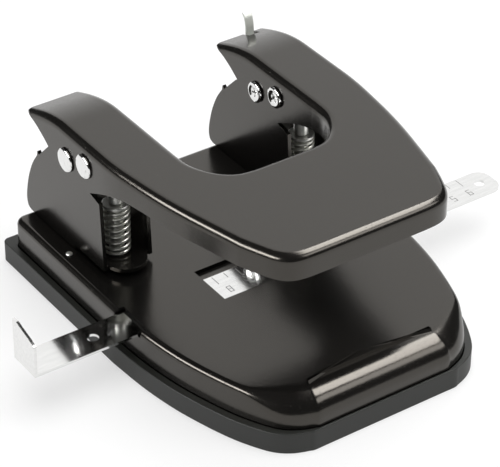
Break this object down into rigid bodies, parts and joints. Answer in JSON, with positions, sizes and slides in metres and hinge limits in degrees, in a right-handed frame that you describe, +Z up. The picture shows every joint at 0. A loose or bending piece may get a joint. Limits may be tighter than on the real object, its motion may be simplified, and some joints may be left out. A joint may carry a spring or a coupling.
{
  "type": "two-hole paper punch",
  "caption": "Desk hole punch with a U-shaped lever handle, two sprung punch towers, a folded steel base in a chip tray and a sliding paper guide.",
  "frame": {"origin": "centre of the chip tray's underside, on the table", "axes": "+X across the width towards the long end of the paper guide, +Y to the rear where the pivots are, +Z up"},
  "size_m": [0.2026, 0.1542, 0.0745],
  "materials": {
    "black_enamel": "satin",
    "black_plastic": "matte",
    "chrome": "polished",
    "bright_steel": "brushed",
    "spring_steel": "bright drawn wire"
  },
  "bodies": {
    "base": {"base_plate": "black_enamel", "guide_rail": "bright_steel", "locating_rivet": "bright_steel", "die_left": "bright_steel", "tower_left": "black_enamel", "tower_rivet_left_1": "bright_steel", "tower_rivet_left_2": "bright_steel", "spring_left": "spring_steel", "die_right": "bright_steel", "tower_right": "black_enamel", "tower_rivet_right_1": "bright_steel", "tower_rivet_right_2": "bright_steel", "spring_right": "spring_steel"},
    "tray": {"chip_tray": "black_plastic"},
    "handle": {"handle": "black_enamel", "pivot_post_left": "chrome", "pivot_post_right": "chrome", "pivot_screw_left": "chrome", "pivot_screw_right": "chrome", "lift_post_left": "chrome", "lift_post_right": "chrome", "lift_screw_left": "chrome", "lift_screw_right": "chrome"},
    "punch_left": {"punch_left": "bright_steel", "spring_clip_left": "bright_steel"},
    "punch_right": {"punch_right": "bright_steel", "spring_clip_right": "bright_steel"},
    "guide": {"paper_guide": "chrome"},
    "lock": {"lock_slide": "chrome"}
  },
  "joints": [
    {"name": "handle_hinge", "type": "hinge", "parent": "base", "child": "handle", "pos_m": [0, 0.0418, 0.0594], "axis": [1, 0, 0], "range_deg": [0, 20], "stiffness_Nm_per_rad": 0.9, "springref_deg": -25.78},
    {"name": "punch_left_slide", "type": "slide", "parent": "base", "child": "punch_left", "axis": [0, 0, -1], "range_m": [0, 0.00445], "deforming": ["spring_left"]},
    {"name": "punch_right_slide", "type": "slide", "parent": "base", "child": "punch_right", "axis": [0, 0, -1], "range_m": [0, 0.00445], "deforming": ["spring_right"]},
    {"name": "guide_slide", "type": "slide", "parent": "base", "child": "guide", "axis": [1, 0, 0], "range_m": [-0.055, 0.03]},
    {"name": "lock_slide", "type": "slide", "parent": "handle", "child": "lock", "axis": [0, -0.9539, 0.3], "range_m": [0, 0.0018]},
    {"name": "tray_release", "type": "slide", "parent": "base", "child": "tray", "axis": [0, 0, -1], "range_m": [0, 0.012]}
  ],
  "couplings": [
    {"joint": "punch_left_slide", "follows": "handle_hinge", "m_per_rad": 0.01263},
    {"joint": "punch_right_slide", "follows": "handle_hinge", "m_per_rad": 0.01263}
  ]
}
